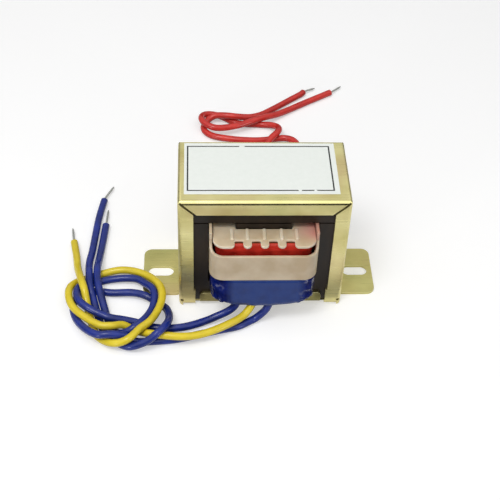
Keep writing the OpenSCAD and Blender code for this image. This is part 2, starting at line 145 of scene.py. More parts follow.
def ramp(tree, value, start=0.0, end=1.0, low=0.0, high=1.0):
    """Low where a value is at start and high where it is at end, even between and level past them."""
    return node(tree, "ShaderNodeMapRange", {"Value": value, "From Min": start, "From Max": end,
                                             "To Min": low, "To Max": high}).outputs[0]


def fade(tree, place, start, end, high=1.0):
    """0 at one place along an axis and high at another, both in millimetres."""
    return ramp(tree, place, start * MM, end * MM, high=high)


def blend(tree, share, first, second):
    """A colour between two, each a hex colour or the socket of one."""
    first, second = (linear(c) if isinstance(c, str) else c for c in (first, second))
    return node(tree, "ShaderNodeMix", {0: share, 6: first, 7: second}, data_type="RGBA").outputs[2]


def on_piece(tree):
    """The place on a piece, in metres."""
    return node(tree, "ShaderNodeTexCoord").outputs["Object"]


def axes(tree, place):
    """X, Y and Z of a place."""
    return node(tree, "ShaderNodeSeparateXYZ", {0: place}).outputs


def per_mm(size):
    """The scale that makes a pattern's features about this many millimetres wide."""
    return 1 / (size * MM)


def clouds(tree, place, size, detail=2.0, roughness=0.5):
    """Noise with features about this many millimetres wide."""
    return node(tree, "ShaderNodeTexNoise", {"Vector": place, "Scale": per_mm(size), "Detail": detail,
                                             "Roughness": roughness}).outputs["Fac"]


def streaks(tree, place, sizes, detail=2.0):
    """Noise drawn out along the axes, with features about this many millimetres in X, Y and Z."""
    drawn = node(tree, "ShaderNodeMapping", {"Vector": place, "Scale": [per_mm(size) for size in sizes]})
    return node(tree, "ShaderNodeTexNoise",
                {"Vector": drawn.outputs[0], "Scale": 1.0, "Detail": detail}).outputs["Fac"]


def material(name, sockets):
    """A new material of one Principled shader, with its tree and shader."""
    made = bpy.data.materials.new(name)
    made.use_nodes = True
    shader = made.node_tree.nodes["Principled BSDF"]
    for key, value in sockets.items():
        shader.inputs[key].default_value = value
    return made, made.node_tree, shader


def feed(tree, shader, sockets):
    """Links sockets to the inputs of a shader."""
    for name, socket in sockets.items():
        tree.links.new(socket, shader.inputs[name])


def emboss(tree, shader, height, strength, depth):
    """Fine relief on a shader, of a depth in millimetres."""
    relief = node(tree, "ShaderNodeBump", {"Strength": strength, "Distance": depth * MM, "Height": height})
    feed(tree, shader, {"Normal": relief.outputs[0]})


def open_group(name, inputs, output):
    """A new group of geometry nodes, the keys of its inputs and their sockets inside."""
    tree = bpy.data.node_groups.new(name, "GeometryNodeTree")
    keys = {}
    for given, kind in inputs.items():
        socket = tree.interface.new_socket(given, in_out="INPUT", socket_type="NodeSocket" + kind)
        keys[given] = socket.identifier
    tree.interface.new_socket(output, in_out="OUTPUT", socket_type="NodeSocketGeometry")
    return tree, keys, node(tree, "NodeGroupInput").outputs


def close_group(tree, geometry, finish):
    """Ends a group of geometry nodes with plain mesh in one finish."""
    real = node(tree, "GeometryNodeRealizeInstances", {0: geometry})
    done = node(tree, "GeometryNodeSetMaterial", {"Geometry": real.outputs[0], "Material": finish})
    node(tree, "NodeGroupOutput", {0: done.outputs[0]})


def grow(piece, tree, keys, values):
    """Runs a group of geometry nodes on a piece and keeps the result as plain mesh."""
    grown = piece.modifiers.new(tree.name, "NODES")
    grown.node_group = tree
    for given, value in values.items():
        grown[keys[given]] = value
    return settle(piece)


# Camera, floor and light

def set_camera():
    """The photograph's view: 45 degrees down, with a long lens."""
    right = Vector((0.99877, -0.03727, 0.03261))
    up = Vector((0.00331, 0.70721, 0.70700))
    ahead = Vector((0.04941, 0.70602, -0.70646))
    place = Vector((-22.93, -279.01, 291.09)) * MM
    sensor, focal_pixels, picture_pixels = 36, 1070, 500
    camera = put("camera", bpy.data.cameras.new("camera"))
    camera.data.sensor_fit = "HORIZONTAL"
    camera.data.sensor_width = sensor
    camera.data.lens = sensor * focal_pixels / picture_pixels
    camera.data.clip_start, camera.data.clip_end = 0.01, 20
    turn = Matrix((right, up, -ahead)).transposed().to_4x4()
    camera.matrix_world = Matrix.Translation(place) @ turn
    bpy.context.scene.camera = camera


def seen_rays(tree):
    """1 for rays that show a surface to the camera, straight or by reflection or through glass."""
    rays = node(tree, "ShaderNodeLightPath").outputs
    mirrored = calc(tree, "MAXIMUM", rays["Is Glossy Ray"], rays["Is Transmission Ray"])
    return calc(tree, "MAXIMUM", rays["Is Camera Ray"], mirrored)


def set_world():
    """An even soft light all round, which shows itself as a plain white."""
    world = bpy.data.worlds.new("soft white room")
    world.use_nodes = True
    tree = world.node_tree
    tree.nodes.clear()
    light = node(tree, "ShaderNodeBackground", {"Strength": ramp(tree, seen_rays(tree), low=0.1)})
    node(tree, "ShaderNodeOutputWorld", {"Surface": light.outputs[0]})
    bpy.context.scene.world = world


def level(x0, y0, x1, y1, z):
    """The corners of a level rectangle."""
    return [(x0, y0, z), (x1, y0, z), (x1, y1, z), (x0, y1, z)]


def set_floor():
    """A white paper sweep that keeps a soft shadow."""
    made = bpy.data.materials.new("white paper sweep")
    made.use_nodes = True
    tree = made.node_tree
    tree.nodes.clear()
    seen = seen_rays(tree)
    paper = node(tree, "ShaderNodeBsdfDiffuse", {"Color": blend(tree, seen, "#A8A8A8", "#DADADA")})
    glow = node(tree, "ShaderNodeEmission", {"Strength": calc(tree, "MULTIPLY", seen, 0.39)})
    both = node(tree, "ShaderNodeAddShader", {0: paper.outputs[0], 1: glow.outputs[0]})
    node(tree, "ShaderNodeOutputMaterial", {"Surface": both.outputs[0]})
    half, low = 4000, -0.05
    mesh_piece("floor", level(-half, -half, half, half, low), [(0, 1, 2, 3)], made)


def set_lamp(name, place, aim, size, power):
    """A soft box; place, aim and size (wide, deep) in millimetres, power in watts."""
    lamp = bpy.data.lights.new(name, "AREA")
    lamp.shape, lamp.energy = "RECTANGLE", power
    lamp.size, lamp.size_y = size[0] * MM, size[1] * MM
    place, aim = Vector(place) * MM, Vector(aim) * MM
    turn = (aim - place).to_track_quat("-Z", "Y").to_matrix().to_4x4()
    put(name, lamp).matrix_world = Matrix.Translation(place) @ turn


def set_dark_room():
    """The dark room round the lit table, and grey cards at the sides of the coil. Only mirrors see them:
    bends of bare metal show the room as thin lines, and the gloss of the tape is deeper at its corners."""
    felt, _, _ = material("black felt", {"Base Color": linear("#101010"), "Roughness": 1.0})
    card, _, _ = material("grey card", {"Base Color": linear("#A4A4A4"), "Roughness": 1.0})
    low, high, far = 0.5, 240, 900
    near, outer = (-160, -82, 140, 210), (-far, -far, far, far)
    rings = level(*near, low) + level(*outer, low) + level(*outer, high)
    bands = [(k + i, k + (i + 1) % 4, k + 4 + (i + 1) % 4, k + 4 + i) for k in (0, 4) for i in range(4)]
    cards = level(-48, -34, -20.5, -19, low) + level(20.5, -29, 46, -19, low)
    for piece in (mesh_piece("dark_room", rings, bands, felt),
                  mesh_piece("cards", cards, [(0, 1, 2, 3), (4, 5, 6, 7)], card)):
        piece.visible_camera = piece.visible_diffuse = piece.visible_shadow = False


# Materials

def yellow_zinc(name, pale, dark, roughness, painted_lip_shade=False, bend=None):
    """Yellow passivated zinc on cold rolled sheet: olive gold in soft clouds, with a rose and a green cast
    where the thin chromate film changes, and fine rolling lines along the sheet. Where asked, the upturned lips
    get a painted shade, darkened to a brown olive. Past a bend (depth, height) the press has burnished it."""
    metal, satin, burnish = 0.85, 0.06, 0.13
    made, tree, shader = material(name, {"Metallic": metal})
    place = on_piece(tree)
    where = axes(tree, place)
    depth = calc(tree, "ABSOLUTE", where["Y"])
    gold = blend(tree, ramp(tree, clouds(tree, place, 14, 3.0, 0.55), 0.32, 0.68), dark, pale)
    moved = node(tree, "ShaderNodeMapping", {"Vector": place, "Location": (0.31, 0.17, 0.05)})
    film = clouds(tree, moved.outputs[0], 20)
    rosy = blend(tree, ramp(tree, film, 0.52, 0.72, high=0.45), gold, "#CBAE86")
    colour = blend(tree, ramp(tree, film, 0.48, 0.3, high=0.4), rosy, "#B4B878")
    # Painted shade: the upturned lips, low under the coil, are darkened to a brown olive
    if painted_lip_shade:
        colour = blend(tree, fade(tree, depth, 14.6, 15.4, 0.62), colour, "#4E4826")
    # Rolling lines are about 0.05 mm apart; they are drawn at 0.4 mm so that they show
    lines = streaks(tree, place, (25, 0.4, 0.4))
    gloss = ramp(tree, lines, 0.3, 0.7, roughness - satin, roughness + satin)
    if bend:
        past = [fade(tree, value, start, start + 0.2) for value, start in zip((depth, where["Z"]), bend)]
        rubbed = calc(tree, "MULTIPLY", *past)
        gloss = calc(tree, "MULTIPLY_ADD", rubbed, -burnish, gloss)
        feed(tree, shader, {"Metallic": ramp(tree, rubbed, low=metal)})
    feed(tree, shader, {"Base Color": colour, "Roughness": gloss})
    emboss(tree, shader, lines, 0.12, 0.02)
    return made


def core_varnish():
    """Silicon steel sheet under brown impregnating varnish: nearly black, with a dull lustre and brown runs."""
    made, tree, shader = material("varnished silicon steel", {
        "Metallic": 0.1, "Specular IOR Level": 0.3, "Coat Weight": 0.05, "Coat Roughness": 0.35})
    place = on_piece(tree)
    runs = streaks(tree, place, (5, 5, 18), 4.0)
    brown = blend(tree, ramp(tree, runs, 0.35, 0.7), "#1A140F", "#2E2319")
    feed(tree, shader, {"Base Color": brown, "Roughness": ramp(tree, runs, low=0.34, high=0.52)})
    emboss(tree, shader, clouds(tree, place, 0.5), 0.15, 0.03)
    return made


def natural_nylon(name, deep, pale):
    """Moulded natural nylon: ivory and slightly translucent, painted pink where the red tape lies close under
    it, a painted glow of the tape's light through the nylon. Thin rounded edges are painted paler, a painted
    glow of light through them."""
    made, tree, shader = material(name, {
        "Roughness": 0.38, "IOR": 1.53, "Subsurface Weight": 0.25, "Subsurface Radius": (1.4, 0.9, 0.6),
        "Subsurface Scale": MM})
    place = on_piece(tree)
    where = axes(tree, place)
    flow = clouds(tree, place, 7, 3.0)
    ivory = blend(tree, ramp(tree, flow, 0.35, 0.65), deep, pale)
    # Painted light: the pink glow is on the upper flange and grows towards its right and back
    painted_red_glow = flow
    for axis, start, end in (("Z", 36.2, 36.7), ("X", 9, 17), ("Y", -24, -18)):
        painted_red_glow = calc(tree, "MULTIPLY", painted_red_glow, fade(tree, where[axis], start, end))
    feed(tree, shader, {"Base Color": blend(tree, painted_red_glow, ivory, "#D05868")})
    return made


def film_tape(name, colour, deep, gloss, panel=None):
    """Polyester film tape with an acrylic adhesive: clear strong colour and a wet gloss, a little uneven over
    the turns under it. Over a panel (left, right, colour), where a second layer lies smooth at the front, it is
    painted paler, a painted sheen. At the front corners beside the panel it is crumpled: dull, but for creases
    that are drawn tight."""
    made, tree, shader = material(name, {"Roughness": 0.12, "IOR": 1.5, "Specular IOR Level": gloss})
    place = on_piece(tree)
    tone = ramp(tree, clouds(tree, place, 4, 3.0), 0.35, 0.65)
    dye = blend(tree, tone, deep, colour)
    if panel:
        left, right, pale = panel
        where = axes(tree, place)
        share, soft = 1.0, 1.5
        for axis, start, end in (("X", left - soft, left + soft), ("X", right + soft, right - soft),
                                 ("Y", -22.5, -23.5)):
            share = calc(tree, "MULTIPLY", fade(tree, where[axis], start, end), share)
        # Painted sheen: the front panel is painted paler
        dye = blend(tree, calc(tree, "MULTIPLY", share, ramp(tree, tone, low=0.75)), dye, pale)
        creases = ramp(tree, clouds(tree, place, 2.6, 1.0), 0.56, 0.68, 0.05)
        beside = calc(tree, "SUBTRACT", 1.0, share)
        crumpled = calc(tree, "MULTIPLY", fade(tree, where["Y"], -17, -19), beside)
        feed(tree, shader, {"Specular IOR Level": ramp(tree, crumpled, low=gloss, high=creases)})
    feed(tree, shader, {"Base Color": dye})
    # The turns under the tape lie level, about 0.3 mm apart; they are drawn at 0.6 mm so that they show
    emboss(tree, shader, streaks(tree, place, (9, 9, 0.6)), 0.2, 0.05)
    return made


def extruded_pvc(name, colour, shade):
    """Extruded PVC insulation: even colour with a satin gloss and a faint mottle from handling."""
    made, tree, shader = material(name, {"IOR": 1.53, "Specular IOR Level": 0.3})
    place = on_piece(tree)
    mottle = clouds(tree, place, 6, 4.0)
    dye = blend(tree, ramp(tree, mottle, 0.3, 0.7), shade, colour)
    feed(tree, shader, {"Base Color": dye, "Roughness": ramp(tree, mottle, low=0.16, high=0.28)})
    emboss(tree, shader, clouds(tree, place, 0.6), 0.1, 0.03)
    return made


def dipped_tin():
    """Copper strands dipped in solder: grey tin, dull in patches."""
    made, tree, shader = material("solder dipped copper", {"Metallic": 1.0})
    patches = clouds(tree, on_piece(tree), 1.2, 3.0)
    feed(tree, shader, {"Base Color": blend(tree, patches, "#8E8F8B", "#C6C8C2"),
                        "Roughness": ramp(tree, patches, low=0.5, high=0.25)})
    return made


def enamelled_copper():
    """Enamelled copper wire wound in level layers: brown gold under a glossy lacquer."""
    made, tree, shader = material("enamelled copper", {"Metallic": 0.9, "Roughness": 0.25, "Coat Weight": 0.6})
    layer, per_unit = 3, 20  # millimetres from layer to layer; radians of the wave texture in a unit
    wave = node(tree, "ShaderNodeTexWave",
                {"Vector": on_piece(tree), "Scale": per_mm(layer) * math.tau / per_unit}, bands_direction="Z")
    layers = wave.outputs["Fac"]
    feed(tree, shader, {"Base Color": blend(tree, layers, "#5A2A14", "#A8602F")})
    emboss(tree, shader, layers, 0.6, 0.15)
    return made


def glass_sleeving():
    """Woven glass sleeving, lacquered: cream, with a fine braid."""
    made, tree, shader = material("lacquered glass sleeving", {"Roughness": 0.6})
    cells = node(tree, "ShaderNodeTexVoronoi", {"Vector": on_piece(tree), "Scale": per_mm(0.4)})
    braid = cells.outputs["Distance"]
    feed(tree, shader, {"Base Color": blend(tree, braid, "#E2DCC8", "#B9AF94")})
    emboss(tree, shader, braid, 0.5, 0.1)
    return made


def label_paper():
    """Coated white label paper with a thin printed border, worn through in places."""
    made, tree, shader = material("coated label paper", {"Roughness": 0.5})
    place = on_piece(tree)
    where = axes(tree, place)
    sides, half_line = [], 0.26
    for axis, middle, half in (("X", -1.3, 24.8), ("Y", 1.3, 11.6)):
        off = calc(tree, "ABSOLUTE", calc(tree, "SUBTRACT", where[axis], middle * MM))
        sides.append(calc(tree, "SUBTRACT", off, half * MM))
    line = calc(tree, "COMPARE", calc(tree, "MAXIMUM", *sides), 0.0, half_line * MM)
    whole = calc(tree, "LESS_THAN", clouds(tree, place, 6), 0.68)
    fibre = clouds(tree, place, 1.5, 4.0)
    paper = blend(tree, fibre, "#EEF3ED", "#F6FAF5")
    inked = blend(tree, calc(tree, "MULTIPLY", line, whole), paper, "#1E201E")
    feed(tree, shader, {"Base Color": inked})
    emboss(tree, shader, fibre, 0.1, 0.02)
    return made


# Sheet metal and mouldings: the CAD shapes with their edges eased

def eased(name, cad_node, finishes, width, segments=2, angle=30):
    """A copy of a CAD node, its facets joined to whole faces and its edges bevelled by a width in millimetres.
    A second finish, where there is one, goes on the bevels."""
    weld, flat = 0.002, 0.5  # millimetres, degrees
    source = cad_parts[cad_node].data
    shape = bmesh.new()
    for vertex in source.vertices:
        shape.verts.new(vertex.co)
    shape.verts.ensure_lookup_table()
    for face in source.polygons:
        shape.faces.new([shape.verts[i] for i in face.vertices])
    bmesh.ops.remove_doubles(shape, verts=shape.verts, dist=weld * MM)
    bmesh.ops.dissolve_limit(shape, angle_limit=math.radians(flat), verts=shape.verts, edges=shape.edges)
    mesh = bpy.data.meshes.new(name)
    shape.to_mesh(mesh)
    shape.free()
    mesh.shade_smooth()
    for finish in finishes:
        mesh.materials.append(finish)
    piece = put(name, mesh)
    bevel = piece.modifiers.new("eased edges", "BEVEL")
    bevel.width, bevel.segments = width * MM, segments
    bevel.limit_method, bevel.angle_limit = "ANGLE", math.radians(angle)
    bevel.material = len(finishes) - 1
    piece.modifiers.new("flat faces", "WEIGHTED_NORMAL")
    return settle(piece)


# Upper former: moulded plates, ribs and a tube

def rounded(corners, steps=8):
    """A closed outline through right-angled corners of (x, y, radius)."""
    points = []
    for i, (x, y, radius) in enumerate(corners):
        here = Vector((x, y))
        back = (Vector(corners[i - 1][:2]) - here).normalized()
        ahead = (Vector(corners[(i + 1) % len(corners)][:2]) - here).normalized()
        for k in range(steps + 1):
            angle = math.radians(90 * k / steps)
            points.append(here + radius * (back + ahead - ahead * math.cos(angle) - back * math.sin(angle)))
    return points


def block(x0, y0, x1, y1, radius):
    """The outline of a rectangle with rounded corners."""
    return rounded([(x0, y0, radius), (x1, y0, radius), (x1, y1, radius), (x0, y1, radius)])


def oblong(half_x, half_y, radius):
    """The outline of such a rectangle round the origin."""
    return block(-half_x, -half_y, half_x, half_y, radius)


def moulded(outlines, low, high, edge):
    """The mesh of a flat plate between two heights, with rounded edges: the first outline less the others."""
    curve = bpy.data.curves.new("plate", "CURVE")
    curve.dimensions, curve.fill_mode = "2D", "BOTH"
    curve.extrude, curve.bevel_depth, curve.bevel_resolution = ((high - low) / 2 - edge) * MM, edge * MM, 3
    curve.offset = -edge * MM
    for i, outline in enumerate(outlines):
        way = outline if i == 0 else outline[::-1]
        spline = curve.splines.new("POLY")
        spline.points.add(len(way) - 1)
        spline.points.foreach_set("co", [c for x, y in way for c in (x * MM, y * MM, 0, 1)])
        spline.use_cyclic_u = True
    plate = put("plate", curve)
    mesh = bpy.data.meshes.new_from_object(plate.evaluated_get(bpy.context.evaluated_depsgraph_get()))
    bpy.data.objects.remove(plate)
    mesh.transform(Matrix.Translation((0, 0, (low + high) / 2 * MM)))
    return mesh


def upper_former(finish, painted_glow_finish):
    """The upper winding's former: a tube with a plain flange low down and a notched one on top, which has soft
    ribs between its notches to part the lead ends. Edges and ribs have a finish of their own, painted paler: a
    painted glow of light through the thin nylon."""
    low, high, web = 22.9, 37.6, 1.0
    half, corner, reach, low_reach = 17.6, 4, 24.3, 23.8
    notch, notch_y, tip, root = 1.5, 21.0, 1.4, 0.4
    rib, rib_half, rib_r, rib_y = 0.5, 0.6, 0.5, 15.6
    hole = oblong(9.7, 15.45, 0.4)
    front = [(-half, -reach, corner)]
    for place in (-1.5, -0.5, 0.5, 1.5):
        x = place * NOTCH_PITCH
        front += [(x - notch, -reach, tip), (x - notch, -notch_y, root),
                  (x + notch, -notch_y, root), (x + notch, -reach, tip)]
    front += [(half, -reach, corner)]
    flange = rounded(front + [(-x, -y, r) for x, y, r in front])
    plates = [moulded([flange, hole], high - web, high, edge=0.26),
              moulded([oblong(10.7, 16.45, 1.2), hole], low, high - 0.3, edge=0.1),
              moulded([oblong(half, low_reach, corner), hole], low, low + web, edge=0.2)]
    for place in (-1.9, -1, 0, 1, 1.9):
        x = place * NOTCH_PITCH
        for y0, y1 in ((-notch_y, -rib_y), (rib_y, notch_y)):
            run = block(x - rib_half, y0, x + rib_half, y1, rib_r)
            plates.append(moulded([run], high - 0.35, high + rib, edge=0.34))
    shape = bmesh.new()
    for plate in plates:
        shape.from_mesh(plate)
    bmesh.ops.remove_doubles(shape, verts=shape.verts, dist=0.001 * MM)
    bmesh.ops.recalc_face_normals(shape, faces=shape.faces)
    mesh = bpy.data.meshes.new("upper_former")
    shape.to_mesh(mesh)
    shape.free()
    mesh.materials.append(finish)
    mesh.materials.append(painted_glow_finish)
    # Painted light: the ribs and the flange's rim take the paler finish, a painted glow through thin nylon
    for face in mesh.polygons:
        on_rib = face.center.z > (high + 0.02) * MM
        on_edge = face.center.z > (high - web) * MM and abs(face.normal.z) < 0.93
        if on_rib or on_edge:
            face.material_index = 1
    return dress(smooth(put("upper_former", mesh)), "nylon", "primary_bobbin")


# Laminations: one sheet, stacked

def sheet_stack():
    """Geometry nodes that stack a sheet along Y, each one slightly out of line."""
    inputs = {"Sheet": "Geometry", "Sheets": "Int", "Pitch": "Float", "Drift": "Float", "Finish": "Material"}
    tree, keys, given = open_group("stack of sheets", inputs, "Stack")
    step = node(tree, "ShaderNodeCombineXYZ", {"Y": given["Pitch"]})
    row = node(tree, "GeometryNodeMeshLine", {"Count": given["Sheets"], "Offset": step.outputs[0]},
               mode="OFFSET")
    sheets = node(tree, "GeometryNodeInstanceOnPoints", {"Points": row.outputs[0], "Instance": given["Sheet"]})
    shift = node(tree, "FunctionNodeRandomValue", {0: (-1, 0, -1), 1: (1, 0, 1), "Seed": 7},
                 data_type="FLOAT_VECTOR")
    drift = scaled(tree, shift.outputs[0], given["Drift"])
    loose = node(tree, "GeometryNodeTranslateInstances", {"Instances": sheets.outputs[0], "Translation": drift})
    close_group(tree, loose.outputs[0], given["Finish"])
    return tree, keys


def lamination_stack(name, outline, tree, keys, finish):
    """A stack of punched sheets from one outline of (x, z) points in millimetres."""
    stack, sheets, thick, drift = 30.5, 61, 0.45, 0.02
    count = len(outline)
    points = [(x, y, z) for y in (-stack / 2, -stack / 2 + thick) for x, z in outline]
    faces = [tuple(range(count)), tuple(range(2 * count - 1, count - 1, -1))]
    faces += [(i, i + count, (i + 1) % count + count, (i + 1) % count) for i in range(count)]
    pitch = (stack - thick) / (sheets - 1)
    return grow(mesh_piece(name, points, faces, finish), tree, keys,
                {"Sheets": sheets, "Pitch": pitch * MM, "Drift": drift * MM, "Finish": finish})


def laminations(finish):
    """The E sheets and the I sheets that close them, with a fine gap at the joint and room in the bracket."""
    half, limb, window, joint, slack = 28.5, 9.5, 19.0, 0.26, 0.05
    stack = sheet_stack()
    wide, top = half - slack, BUTT_Z - joint
    low, high = BUTT_Z + joint, ROOF_Z - SHEET_T - slack
    right = [(wide, CORE_Z + slack), (wide, top), (window, top),
             (window, WINDOW_Z), (limb, WINDOW_Z), (limb, top)]
    outlines = {"e": right + [(-x, z) for x, z in reversed(right)],
                "i": [(wide, low), (wide, high), (-wide, high), (-wide, low)]}
    for letter, outline in outlines.items():
        piece = lamination_stack(letter + "_sheets", outline, *stack, finish)
        dress(piece, "lamination_steel", letter + "_laminations")


# Tape and label

def ring_outline(half_x, front, back, front_r, back_r, step):
    """Points and outward normals round a wrap, about a step apart: corners rounded, front and back of their own
    depth."""
    points, normals = [], []

    def run(a, b, normal):
        """A straight stretch, less its last point."""
        count = max(1, round(math.dist(a, b) / step))
        for i in range(count):
            points.append(tuple(a[k] + (b[k] - a[k]) * i / count for k in (0, 1)))
            normals.append(normal)

    def turn(x, y, r, start):
        """A quarter turn about a centre, less its last point."""
        count = max(4, round(r * math.pi / 2 / step))
        for i in range(count):
            angle = math.radians(start + 90 * i / count)
            points.append((x + r * math.cos(angle), y + r * math.sin(angle)))
            normals.append((math.cos(angle), math.sin(angle)))

    run((-half_x + front_r, -front), (half_x - front_r, -front), (0, -1))
    turn(half_x - front_r, -front + front_r, front_r, -90)
    run((half_x, -front + front_r), (half_x, back - back_r), (1, 0))
    turn(half_x - back_r, back - back_r, back_r, 0)
    run((half_x - back_r, back), (-half_x + back_r, back), (0, 1))
    turn(-half_x + back_r, back - back_r, back_r, 90)
    run((-half_x, back - back_r), (-half_x, -front + front_r), (-1, 0))
    turn(-half_x + front_r, -front + front_r, front_r, 180)
    return np.array(points), np.array(normals)


def ease_in(low, high, value):
    """0 below low, 1 above high, smooth between."""
    t = min(1.0, max(0.0, (value - low) / (high - low)))
    return t * t * (3 - 2 * t)


def wrap(name, outline, bottom, top, rows, relief, finish, holes=()):
    """A closed band of tape: bottom gives its lower edge at a point, relief how far it stands out there. It is
    open round the holes, where leads pass."""
    hole_r = 1.0
    points, normals = outline
    count = len(points)
    grid = []
    for r in range(rows + 1):
        for (x, y), (nx, ny) in zip(points, normals):
            low = bottom(x, y)
            z = low + (top - low) * r / rows
            out = relief(x, y, z, low)
            grid.append((x + nx * out, y + ny * out, z))
    faces = []
    for r in range(rows):
        for c in range(count):
            a, b = r * count + c, r * count + (c + 1) % count
            middle = (Vector(grid[a]) + Vector(grid[b + count])) / 2
            if all((middle - Vector(hole)).length > hole_r for hole in holes):
                faces.append((a, b, b + count, a + count))
    return thicken(mesh_piece(name, grid, faces, finish), TAPE_T)


def red_wrap(finish):
    """The upper winding's tape: level turns whose edges show as low steps."""
    low, high, edges = 23.9, 36.6, (27.0, 30.2, 33.4, 35.2)
    step, soft, inset, wave = 0.06, 0.06, 0.26, 0.06

    def relief(x, y, z, _):
        """Steps at the edges of the turns, and a slight wave."""
        turns = sum(step * ease_in(edge - soft, edge + soft, z) for edge in edges)
        return turns - inset + wave * noise.noise(Vector((x, y, z * 3)) * 0.25)

    outline = ring_outline(17.0, 22.0, 22.0, 4.4, 4.4, 0.5)
    holes = [(side * NOTCH_PITCH / 2, 22, 35.0) for side in (-1, 1)]
    piece = wrap("red_wrap", outline, lambda x, y: low, high, 42, relief, finish, holes)
    return dress(piece, "red_tape", "primary_tape")


def blue_wrap(finish):
    """The lower winding's tape: drawn over the lead ends at the front, where its skirt is tucked and
    crumpled."""
    half, front_y, back_y, corner_y, top, flange_z = 18.4, 24.9, 21.7, -20.5, 21.9, 12.5
    drop, rise, bulge, flap_t, flap_soft = 3.7, 2.6, 0.22, 0.12, 0.15
    leads = [place * NOTCH_PITCH for place in (-1.5, -0.5, 0.5)]

    def bottom(x, y):
        """The lower edge, a skirt that hangs lowest at the front middle."""
        skirt = flange_z - drop + rise * (x / half) ** 2
        return skirt + (flange_z - skirt) * ease_in(corner_y, -15.5, y)

    def relief(x, y, z, low):
        """Tucked edges, bulges over the lead ends, the second layer, and folds at the front corners."""
        front = 1 - ease_in(corner_y, -16, y)
        tucked = -0.8 * ease_in(top - 1.0, top, z) - 0.35 * (1 - ease_in(low, low + 1.4, z))
        over = sum(math.exp(-((x - lead) / 1.5) ** 2) for lead in leads) * (1 - ease_in(13, 19, z))
        left, right = (ease_in(end - flap_soft, end + flap_soft, x) for end in PANEL)
        corner = ease_in(10, 15.5, abs(x)) * (1 - 0.4 * ease_in(16.8, 18.2, abs(x))) * front
        crumple = Vector((x * 0.9, y * 0.9, z * 0.55 + x * 0.4)) * 0.42
        folds = noise.ridged_multi_fractal(crumple, 1.0, 2.0, 3, 1.0, 2.0)
        pinch = corner * (0.35 + 0.65 * (1 - ease_in(11, 17, z)))
        ripple = 0.05 * noise.noise(Vector((x, y, z)) * 0.35)
        layers = front * (bulge * over + flap_t * left * (1 - right))
        return tucked + ripple + layers - pinch * (0.75 * folds - 0.55)

    outline = ring_outline(half, front_y, back_y, 4.6, 3.4, 0.34)
    piece = wrap("blue_wrap", outline, bottom, top, 40, relief, finish)
    return dress(piece, "blue_tape", "secondary_tape")


def label(finish):
    """The label, lying almost flat on the roof."""
    x0, x1, y0, y1, top, thick, wave = -27.3, 25.5, -12.2, 14.6, 0.14, 0.09, 0.03
    cols, rows = 44, 22
    points, faces = [], []
    for r in range(rows + 1):
        for c in range(cols + 1):
            edge = min(c, cols - c, r, rows - r)
            lift = 0.0 if edge == 0 else wave * noise.noise(Vector((c, r, 0)) * 0.3) - wave
            points.append((x0 + (x1 - x0) * c / cols, y0 + (y1 - y0) * r / rows, ROOF_Z + top + lift))
    for r in range(rows):
        for c in range(cols):
            a = r * (cols + 1) + c
            faces.append((a, a + 1, a + cols + 2, a + cols + 1))
    sheet = thicken(mesh_piece("label_sheet", points, faces, finish), thick)
    return dress(sheet, "label_paper", "label")


# Leads

def front_exit(place):
    """The first points of a lead that hangs from a front notch of the lower former."""
    return [(place * NOTCH_PITCH, -22.9, z) for z in (17.25, 13.5, 9.5)]


def back_exit(place):
    """The first points of a lead that leaves through the red tape at the back."""
    return [(place * NOTCH_PITCH, y, 35.0) for y in (22.05, 23.75, 25.5)]


